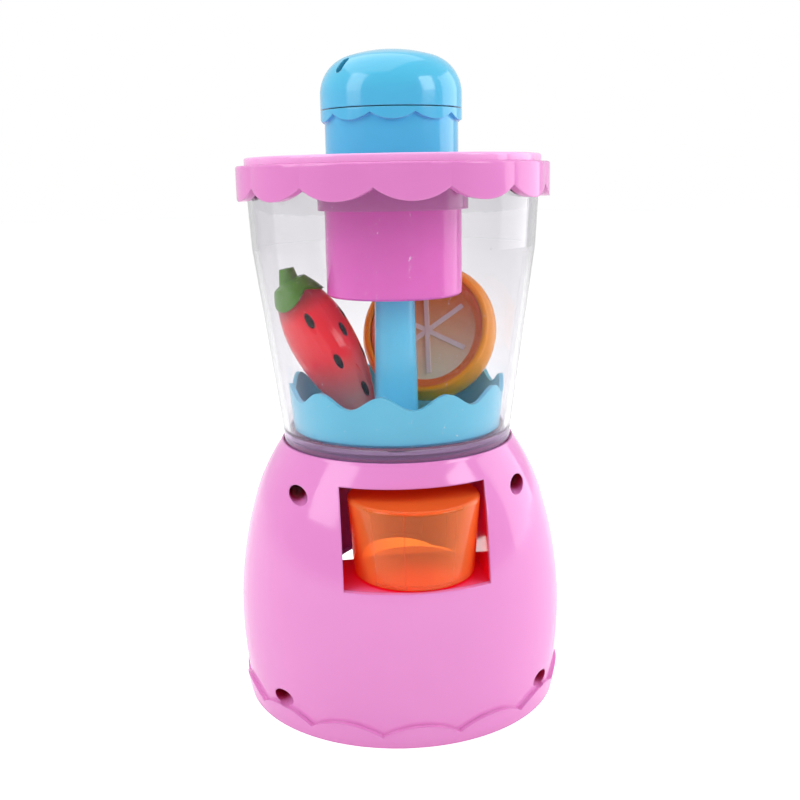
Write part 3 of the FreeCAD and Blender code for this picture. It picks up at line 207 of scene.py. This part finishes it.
def clear_moulding(name, tint, edge_tint, rough, index, let_through, clear, painted_glow=0.0,
                   flecks=0.0, shine="#FFFFFF"):
    """Clear polystyrene, tinted, and more so where the wall is seen edge on.
    The shares that are clear, face on and edge on, are in clear; the rest of it is of solid colour.
    The edge's colour is given off as painted light, by the strength painted_glow, for light
    scattered in the wall, and reflections take on the colour shine. Lamps shine through it by the
    colour let_through, since the shadow of a clear piece is only a tint.
    Flecks is the share of the surface's cells with a pale scuff in it."""
    material = blank_material(name)
    place = add(material, "ShaderNodeTexCoord").outputs["Object"]
    flow = noise(material, place, 9)
    ripple = add(material, "ShaderNodeBump", {"Height": flow.outputs["Fac"], "Strength": 0.1,
                                              "Distance": 0.12 * MM})
    slant = add(material, "ShaderNodeLayerWeight", {"Blend": 0.5}).outputs["Facing"]
    clarity = ramp(material, slant, 0.0, 1.0, *clear)
    if flecks:
        mark = fleck_mask(material, place, flecks)
        rough = ramp(material, mark, 0.0, 1.0, rough, FLECK_ROUGH)
        clarity = ramp(material, mark, 0.0, 1.0, clear[0], FLECK_CLEAR)
    glass = add(material, "ShaderNodeBsdfPrincipled",
                {"Base Color": mixed(material, slant, linear(tint), linear(edge_tint)),
                 "Roughness": rough, "IOR": index, "Transmission Weight": clarity,
                 "Specular Tint": linear(shine), "Emission Color": linear(edge_tint),
                 "Emission Strength": painted_glow, "Normal": ripple.outputs["Normal"]})
    open_way = add(material, "ShaderNodeBsdfTransparent", {"Color": linear(let_through)})
    ray = add(material, "ShaderNodeLightPath")
    wall = add(material, "ShaderNodeMixShader", {0: ray.outputs["Is Shadow Ray"],
                                                 1: glass.outputs["BSDF"],
                                                 2: open_way.outputs["BSDF"]})
    add(material, "ShaderNodeOutputMaterial", {"Surface": wall.outputs["Shader"]})
    return material


# Its faint emission in the edge's orange is painted light, for light scattered in its walls
juice_clear = clear_moulding("clear_polystyrene_orange", "#FFB468", "#FF5000", 0.02, 1.33,
                             "#FFC890", (0.9, 0.2), painted_glow=0.02, shine="#E0E0E0")
dress(juice_clear, "juice_half_left", "juice_half_right")

# --- Jar -----------------------------------------------------------------------
# One moulding in clear polystyrene, 2 mm thick, with a foot ring. Handling has
# left fine scuffs in it, which show as pale flecks.

JAR_FOOT_TOP, JAR_FOOT_FADE = 113.0 * MM, 2.0 * MM


def plastic_of(material):
    """The shader in a material that its colour and gloss go into."""
    return material.node_tree.nodes["Principled BSDF"]


def blend_in(material, socket, stays, value):
    """Blends a colour or a number into what feeds a socket of a material's
    plastic. The old feed keeps the share stays."""
    fed_socket = plastic_of(material).inputs[socket]
    feed = fed_socket.links[0].from_socket
    material.node_tree.links.new(mixed(material, stays, value, feed), fed_socket)


jar_clear = clear_moulding("clear_polystyrene", "#EDECEE", "#DAD8DD", 0.015, 1.45, "#FFFFFF",
                           (1.0, 1.0), flecks=0.35, shine="#747474")
dress(jar_clear, "jar")
# The foot ring is thick and finely ground, so it is rougher and less clear; its purplish grey is a
# painted reflection of the pink deck and shade seen through it
jar_place = add(jar_clear, "ShaderNodeTexCoord").outputs["Object"]
jar_height = add(jar_clear, "ShaderNodeSeparateXYZ", {0: jar_place})
above_foot = ramp(jar_clear, jar_height.outputs["Z"], JAR_FOOT_TOP - JAR_FOOT_FADE, JAR_FOOT_TOP)
blend_in(jar_clear, "Base Color", above_foot, linear("#B898C4"))
blend_in(jar_clear, "Roughness", above_foot, 0.06)
blend_in(jar_clear, "Transmission Weight", above_foot, 0.75)

# --- Tray and post -------------------------------------------------------------
# Light blue ABS. The tray, its wavy rim and the post are one moulding.

tray_blue = moulded_abs("moulded_abs_light_blue", "#6CD9FC", "#76E0FF", 0.6)
dress(tray_blue, "tray")

# --- Strawberry ----------------------------------------------------------------
# A hollow berry in clear red polystyrene, with a green cap and stem pushed on.
# The seeds are drops of glossy dark paint in the dimples.

BERRY_LEAN, BERRY_LEAN_TO, BERRY_SPIN = 28.7, -92.7, 32.0
BERRY_TIP_RADIUS = 7.5
BERRY_REST = Vector((-12.4, 6.4, 113.55))
BERRY_FLOW = Vector((2.5, 2.5, 25.0)) * MM     # flow lines, across and along
BERRY_PAINTED_TIP = (10 * MM, 30 * MM)      # over the tip, where the painted tip colour gives way to red
BERRY_SHADE = (49 * MM, 56 * MM)    # over the tip, where the cap's shade sets in
# Rows of seeds: height over the tip in mm, how many, and the angle of the first
BERRY_SEED_ROWS = ((11.0, 2, 4.0), (24.0, 2, 48.0), (27.0, 2, -24.0),
                   (37.0, 2, 16.0), (42.5, 2, 48.0), (47.0, 2, -32.0))
SEED_LENGTH, SEED_WIDTH, SEED_THICK = 7.1 * MM, 3.1 * MM, 1.1 * MM
SEED_RAISE = 0.2 * MM               # over the dimple's floor
SEED_SPAN = 4.4                     # mm each way that give the skin's slope
SEED_SIDES = 12
SEED_SHARES = (-0.97, -0.8, -0.5, -0.17, 0.17, 0.5, 0.8, 0.97)

# Frame of the berry: its tip at the origin, its length up Z. Leaning, it
# stands on the side of the ball at its tip.
lean_side = math.radians(BERRY_LEAN_TO - 90)
lift = BERRY_TIP_RADIUS * (1 - math.cos(math.radians(BERRY_LEAN)))
berry_frame = (Matrix.Translation((BERRY_REST + Vector((0, 0, lift))) * MM)
               @ Matrix.Rotation(math.radians(-BERRY_LEAN), 4,
                                 Vector((math.sin(lean_side), -math.cos(lean_side), 0)))
               @ Matrix.Rotation(math.radians(BERRY_SPIN), 4, "Z"))
# Its emission in the edge's red is painted light, for light scattered in the berry
berry_red = clear_moulding("clear_polystyrene_red", "#FF3040", "#D42030", 0.02, 1.45, "#FFB0B4",
                           (0.15, 0.12), painted_glow=0.2)
dress(berry_red, "strawberry_body")
# The place in the berry's frame, counted in flow lines
along_berry = add(berry_red, "ShaderNodeMapping",
                  {"Vector": add(berry_red, "ShaderNodeTexCoord").outputs["Object"],
                   "Location": berry_frame.translation, "Rotation": berry_frame.to_euler(),
                   "Scale": BERRY_FLOW}, vector_type="TEXTURE").outputs["Vector"]
berry_rise = add(berry_red, "ShaderNodeSeparateXYZ", {0: along_berry}).outputs["Z"]
past_painted_tip = ramp(berry_red, berry_rise, *(height / BERRY_FLOW.z for height in BERRY_PAINTED_TIP))
unshaded = ramp(berry_red, berry_rise, *(height / BERRY_FLOW.z for height in BERRY_SHADE),
                low=1.0, high=0.0)
# Painted: the tip's brownish grey stands in for the blue tray and a pale reflection seen through
# the berry, and the dark red under the cap is painted shade
blend_in(berry_red, "Base Color", past_painted_tip, linear("#9C8C80"))
blend_in(berry_red, "Base Color", unshaded, linear("#7C0C1C"))
berry_lines = add(berry_red, "ShaderNodeTexNoise", {"Vector": along_berry, "Scale": 1.0,
                                                    "Detail": 2.0})
berry_flow = add(berry_red, "ShaderNodeBump", {"Height": berry_lines.outputs["Fac"],
                                               "Strength": 0.7, "Distance": 0.5 * MM})
berry_red.node_tree.links.new(berry_flow.outputs["Normal"], plastic_of(berry_red).inputs["Normal"])
leaf_green = moulded_abs("moulded_soft_pvc_leaf_green", "#468600", "#569612", 0.4, (0.2, 0.3))
plastic_of(leaf_green).inputs["Specular IOR Level"].default_value = 0.2
dress(leaf_green, "strawberry_cap")

to_berry = berry_frame.inverted()
berry_mesh = nodes["strawberry_body"].data
berry_skin = BVHTree.FromPolygons([to_berry @ vertex.co for vertex in berry_mesh.vertices],
                                  [list(face.vertices) for face in berry_mesh.polygons])


def on_berry(height, angle):
    """Point of the berry's skin at a height in mm and an angle from its back,
    and the way out of it there, both in the berry's frame."""
    out = Vector((math.sin(angle), -math.cos(angle), 0))
    outside = out * 30 * MM + Vector((0, 0, height * MM))
    return berry_skin.ray_cast(outside, -out)[0], out


def seed_ring(centre, along, across, up, share):
    """One ring of a seed, from its lower point at share -1 to its upper one."""
    width = (1 - share * share) ** 0.6
    ring = []
    for step in range(SEED_SIDES):
        turn = step * math.tau / SEED_SIDES
        ring.append(centre + along * (share * SEED_LENGTH / 2)
                    + across * (width * math.cos(turn) * SEED_WIDTH / 2)
                    + up * (width * math.sin(turn) * SEED_THICK / 2))
    return ring


def skin_rings(shape, rings):
    """Closes a row of rings of vertices with walls and two ends."""
    for lower, upper in zip(rings, rings[1:]):
        for step in range(len(lower)):
            shape.faces.new((lower[step], lower[step - 1], upper[step - 1], upper[step]))
    shape.faces.new(rings[0])
    shape.faces.new(list(reversed(rings[-1])))


def smooth_object(name, shape, material):
    """Turns a shape into an object that is smooth all over."""
    bmesh.ops.recalc_face_normals(shape, faces=shape.faces)
    mesh = bpy.data.meshes.new(name)
    shape.to_mesh(mesh)
    shape.free()
    mesh.shade_smooth()
    mesh.materials.append(material)
    made = bpy.data.objects.new(name, mesh)
    bpy.context.scene.collection.objects.link(made)
    return made


seed_shape = bmesh.new()
for height, count, first in BERRY_SEED_ROWS:
    for number in range(count):
        angle = math.radians(first + number * 360 / count)
        dimple_floor, out = on_berry(height, angle)
        along = (on_berry(height + SEED_SPAN, angle)[0]
                 - on_berry(height - SEED_SPAN, angle)[0]).normalized()
        across = along.cross(out).normalized()
        up = across.cross(along)
        centre = dimple_floor + up * SEED_RAISE
        skin_rings(seed_shape, [[seed_shape.verts.new(berry_frame @ point)
                                 for point in seed_ring(centre, along, across, up, share)]
                                for share in SEED_SHARES])
seed_paint = moulded_abs("glossy_seed_paint", "#140C10", "#241A1C", 0.1, (0.1, 0.18))
seeds = smooth_object("strawberry_seeds", seed_shape, seed_paint)
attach(seeds, "tray")

# --- Half orange ---------------------------------------------------------------
# An orange peel moulding with a dished flesh piece in it, and a pale star of membranes that is
# pressed on to the flesh. The flesh is sprayed brown, paler towards its foot, and darker on the
# slope round it.

ORANGE_HUB = Vector((14.68, 15.0, 148.25)) * MM
FLESH_DISC, FLESH_EDGE = 21.2 * MM, 0.5 * MM

peel_orange = moulded_abs("moulded_abs_peel_orange", "#FF9600", "#FFA200", 0.5)
plastic_of(peel_orange).inputs["Specular IOR Level"].default_value = 0.3
dress(peel_orange, "orange_peel")

flesh_brown = blank_material("sprayed_abs_flesh_brown")
flesh_place = add(flesh_brown, "ShaderNodeTexCoord").outputs["Object"]
flesh_height = add(flesh_brown, "ShaderNodeSeparateXYZ", {0: flesh_place})
flesh_fade = ramp(flesh_brown, flesh_height.outputs["Z"], ORANGE_HUB.z - 20 * MM,
                  ORANGE_HUB.z + 12 * MM)
flesh_colour_by_height = mixed(flesh_brown, flesh_fade, linear("#FFF0C8"), linear("#EC9044"))
flesh_reach = add(flesh_brown, "ShaderNodeVectorMath", {0: flesh_place, 1: ORANGE_HUB},
                  operation="DISTANCE")
flesh_slope = ramp(flesh_brown, flesh_reach.outputs["Value"], FLESH_DISC, FLESH_DISC + FLESH_EDGE)
flesh_colour = mixed(flesh_brown, flesh_slope, flesh_colour_by_height, linear("#F47624"))
polished_skin(flesh_brown, flesh_place, flesh_colour, 0.3, (0.2, 0.3))
dress(flesh_brown, "orange_flesh")
membrane_pale = moulded_abs("printed_membrane_cream", "#F0DAD0", "#F6E4DA", 0.1, (0.3, 0.4))
dress(membrane_pale, "orange_membranes")

# --- Lid and drive housing -----------------------------------------------------
# Two petalled layers in a slightly deeper pink ABS, screwed together round the
# knob. The housing hangs from the lid's collar and is of a deeper pink.

lid_pink = moulded_abs("moulded_abs_lid_pink", "#E482C9", "#E98BD0", 0.8)
dress(lid_pink, "lid_body")
# Painted light: the petal plate is a paler pink than the lid, for the light on its rounded top
# edges
petal_pink_painted_light = moulded_abs("moulded_abs_petal_pink", "#F8AEE6", "#FCB6EC", 0.6)
dress(petal_pink_painted_light, "petal_plate")
housing_pink = moulded_abs("moulded_abs_deep_pink", "#FA72D4", "#FE7ADA", 0.5)
dress(housing_pink, "drive_housing")

# --- Drive ---------------------------------------------------------------------
# Rotor, its cover and the twisted bar are white acetal, which slides well and
# looks waxy. The spring is plated steel wire, wound in seven turns.

SPRING_RADIUS, SPRING_WIRE, SPRING_TURNS = 13.0 * MM, 0.6 * MM, 7
SPRING_FOOT, SPRING_TOP = 187.1 * MM, 225.9 * MM
TURN_STEPS, WIRE_SIDES = 40, 10

acetal = moulded_abs("moulded_acetal_white", "#E6E6E2", "#EEEEEA", 0.2, (0.35, 0.5))
dress(acetal, "drive_rotor", "rotor_cover", "twist_bar")

coil = bmesh.new()
rise = SPRING_TOP - SPRING_FOOT - 2 * SPRING_WIRE
hoops = []
for step in range(SPRING_TURNS * TURN_STEPS + 1):
    angle = step * math.tau / TURN_STEPS
    out = Vector((math.cos(angle), math.sin(angle), 0))
    height = SPRING_FOOT + SPRING_WIRE + rise * step / (SPRING_TURNS * TURN_STEPS)
    hoop = []
    for side in range(WIRE_SIDES):
        turn = side * math.tau / WIRE_SIDES
        hoop.append(coil.verts.new(out * (SPRING_RADIUS + SPRING_WIRE * math.cos(turn))
                                   + Vector((0, 0, height + SPRING_WIRE * math.sin(turn)))))
    hoops.append(hoop)
skin_rings(coil, hoops)
spring = smooth_object("spring_coil", coil, zinc)
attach(spring, "knob")
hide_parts("return_spring")
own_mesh(spring)

# --- Knob ----------------------------------------------------------------------
# Domed press knob and its sleeve, in sky blue ABS, joined by a fine open seam.

knob_blue = moulded_abs("moulded_abs_sky_blue", "#50BEE4", "#5AC5EA", 0.5)
dress(knob_blue, "knob_sleeve", "knob_dome")

# --- Studio --------------------------------------------------------------------
# White paper floor, which reads as white as the room behind it, four soft
# boxes, and a white room. The camera sees the room white, also through clear
# walls. In a mirroring surface it is dim on the camera's side and bright on the
# far one, and its diffuse light is even.

FLOOR_RADIUS = 6.0
ROOM_EVEN, ROOM_DIM, ROOM_BRIGHT, ROOM_TURN = 0.5, 0.04, 0.8, 0.8
PAPER_SEEN, PAPER_SEEN_THROUGH, PAPER_MIRRORED = 0.56, 0.3, 0.35
LAMP_AIM = Vector((0, 0, 0.14))


def only_bent(material, ray):
    """1 on light paths that clear walls have only bent since the camera."""
    unspread = calc(material, "LESS_THAN", ray.outputs["Diffuse Depth"], 0.5)
    unmirrored = calc(material, "LESS_THAN", ray.outputs["Glossy Depth"], 0.5)
    direct = calc(material, "MULTIPLY", unspread, unmirrored)
    return calc(material, "MULTIPLY", ray.outputs["Is Transmission Ray"], direct)


floor_mesh = bpy.data.meshes.new("floor")
floor_shape = bmesh.new()
bmesh.ops.create_circle(floor_shape, cap_ends=True, segments=96, radius=FLOOR_RADIUS)
floor_shape.to_mesh(floor_mesh)
floor_shape.free()
floor = bpy.data.objects.new("floor", floor_mesh)
bpy.context.scene.collection.objects.link(floor)
paper = blank_material("white_paper")
paper_grain = noise(paper, add(paper, "ShaderNodeTexCoord").outputs["Object"], 2)
paper_bump = add(paper, "ShaderNodeBump", {"Height": paper_grain.outputs["Fac"],
                                           "Strength": 0.05, "Distance": 0.02 * MM})
paper_skin = add(paper, "ShaderNodeBsdfPrincipled",
                 {"Base Color": linear("#F2F2F2"), "Roughness": 0.7, "Specular IOR Level": 0.2,
                  "Normal": paper_bump.outputs["Normal"]})
paper_ray = add(paper, "ShaderNodeLightPath")
paper_light = calc(paper, "MULTIPLY", paper_ray.outputs["Is Camera Ray"], PAPER_SEEN)
paper_light = calc(paper, "MULTIPLY_ADD", only_bent(paper, paper_ray), PAPER_SEEN_THROUGH,
                   paper_light)
paper_light = calc(paper, "MULTIPLY_ADD", paper_ray.outputs["Is Glossy Ray"], PAPER_MIRRORED,
                   paper_light)
paper_glow = add(paper, "ShaderNodeEmission", {"Color": linear("#FFFFFF"),
                                               "Strength": paper_light})
paper_lit = add(paper, "ShaderNodeAddShader", {0: paper_skin.outputs["BSDF"],
                                               1: paper_glow.outputs["Emission"]})
add(paper, "ShaderNodeOutputMaterial", {"Surface": paper_lit.outputs["Shader"]})
floor_mesh.materials.append(paper)

world = bpy.data.worlds.new("white_room")
bpy.context.scene.world = world
world.use_nodes = True
world.node_tree.nodes.clear()


def white_light(strength):
    """Shader for white light from the room."""
    return add(world, "ShaderNodeBackground", {"Color": linear("#FFFFFF"),
                                               "Strength": strength}).outputs["Background"]


room_way = add(world, "ShaderNodeSeparateXYZ",
               {0: add(world, "ShaderNodeTexCoord").outputs["Generated"]})
room_depth = ramp(world, room_way.outputs["Y"], -ROOM_TURN, ROOM_TURN, ROOM_DIM, ROOM_BRIGHT)
room_ray = add(world, "ShaderNodeLightPath")
unspread = calc(world, "LESS_THAN", room_ray.outputs["Diffuse Depth"], 0.5)
seen = calc(world, "MAXIMUM", room_ray.outputs["Is Camera Ray"], only_bent(world, room_ray))
lit = add(world, "ShaderNodeMixShader", {0: unspread, 1: white_light(ROOM_EVEN),
                                         2: white_light(room_depth)})
room = add(world, "ShaderNodeMixShader", {0: seen, 1: lit.outputs["Shader"], 2: white_light(1.0)})
add(world, "ShaderNodeOutputWorld", {"Surface": room.outputs["Shader"]})


def soft_box(name, side, rise, distance, width, height, power):
    """Rectangular lamp that faces the jar. In degrees, side is its angle from
    the back towards +X and rise its angle above LAMP_AIM; the rest is in metres
    and watts."""
    side, rise = math.radians(side), math.radians(rise)
    towards = Vector((math.sin(side) * math.cos(rise), -math.cos(side) * math.cos(rise),
                      math.sin(rise)))
    lamp = bpy.data.lights.new(name, "AREA")
    lamp.shape = "RECTANGLE"
    lamp.size, lamp.size_y, lamp.energy = width, height, power
    box = bpy.data.objects.new(name, lamp)
    box.location = LAMP_AIM + towards * distance
    box.rotation_euler = towards.to_track_quat("Z", "Y").to_euler()
    bpy.context.scene.collection.objects.link(box)


soft_box("soft_box_left", -68, 29, 1.1, 0.5, 0.8, 3.9)
soft_box("soft_box_right", 56, 25, 1.1, 0.42, 0.6, 3.8)
soft_box("soft_box_side", 104, 14, 1.2, 0.9, 0.9, 4.4)
soft_box("soft_box_top", -120, 76, 1.1, 1.5, 1.2, 6.5)

# Camera: on the groove's side, a little to the left, looking 12 degrees down
lens = bpy.data.cameras.new("camera")
lens.sensor_width, lens.lens = 36.0, 46.48
lens.clip_start, lens.clip_end = 0.01, 30.0
camera = bpy.data.objects.new("camera", lens)
turn = Matrix.Rotation(math.radians(-6.692), 4, "Z")
pitch = Matrix.Rotation(math.radians(90 - 12.077), 4, "X")
roll = Matrix.Rotation(math.radians(-1.034), 4, "Z")
camera.matrix_world = Matrix.Translation((-0.04756, -0.41746, 0.21093)) @ turn @ pitch @ roll
bpy.context.scene.collection.objects.link(camera)
bpy.context.scene.camera = camera
bpy.context.scene.view_settings.view_transform = "Standard"
